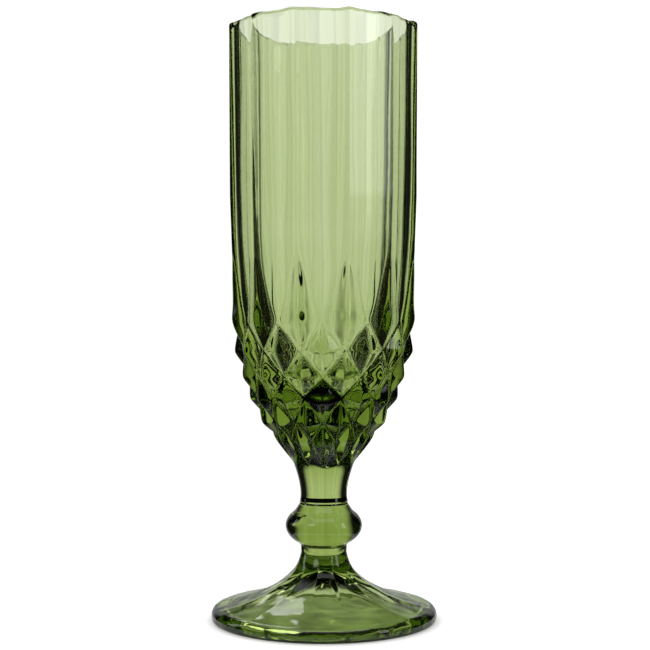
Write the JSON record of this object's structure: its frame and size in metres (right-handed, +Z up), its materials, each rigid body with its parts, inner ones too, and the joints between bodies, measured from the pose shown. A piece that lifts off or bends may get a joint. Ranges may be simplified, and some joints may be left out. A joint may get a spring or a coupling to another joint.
{
  "type": "champagne flute",
  "caption": "Tall stemmed drinking glass of green pressed glass: flat-panelled bowl with diamond facets below, ball knop, round faceted foot.",
  "frame": {"origin": "centre of the ring that the foot rests on, on the table plane", "axes": "+Z up along the axis of the glass; +X and -Y each point through the middle of a flat panel of the bowl"},
  "size_m": [0.0758, 0.0758, 0.2],
  "materials": {
    "green_glass": "gloss"
  },
  "bodies": {
    "root": {"bowl": "green_glass", "knop": "green_glass", "foot": "green_glass"}
  },
  "joints": []
}
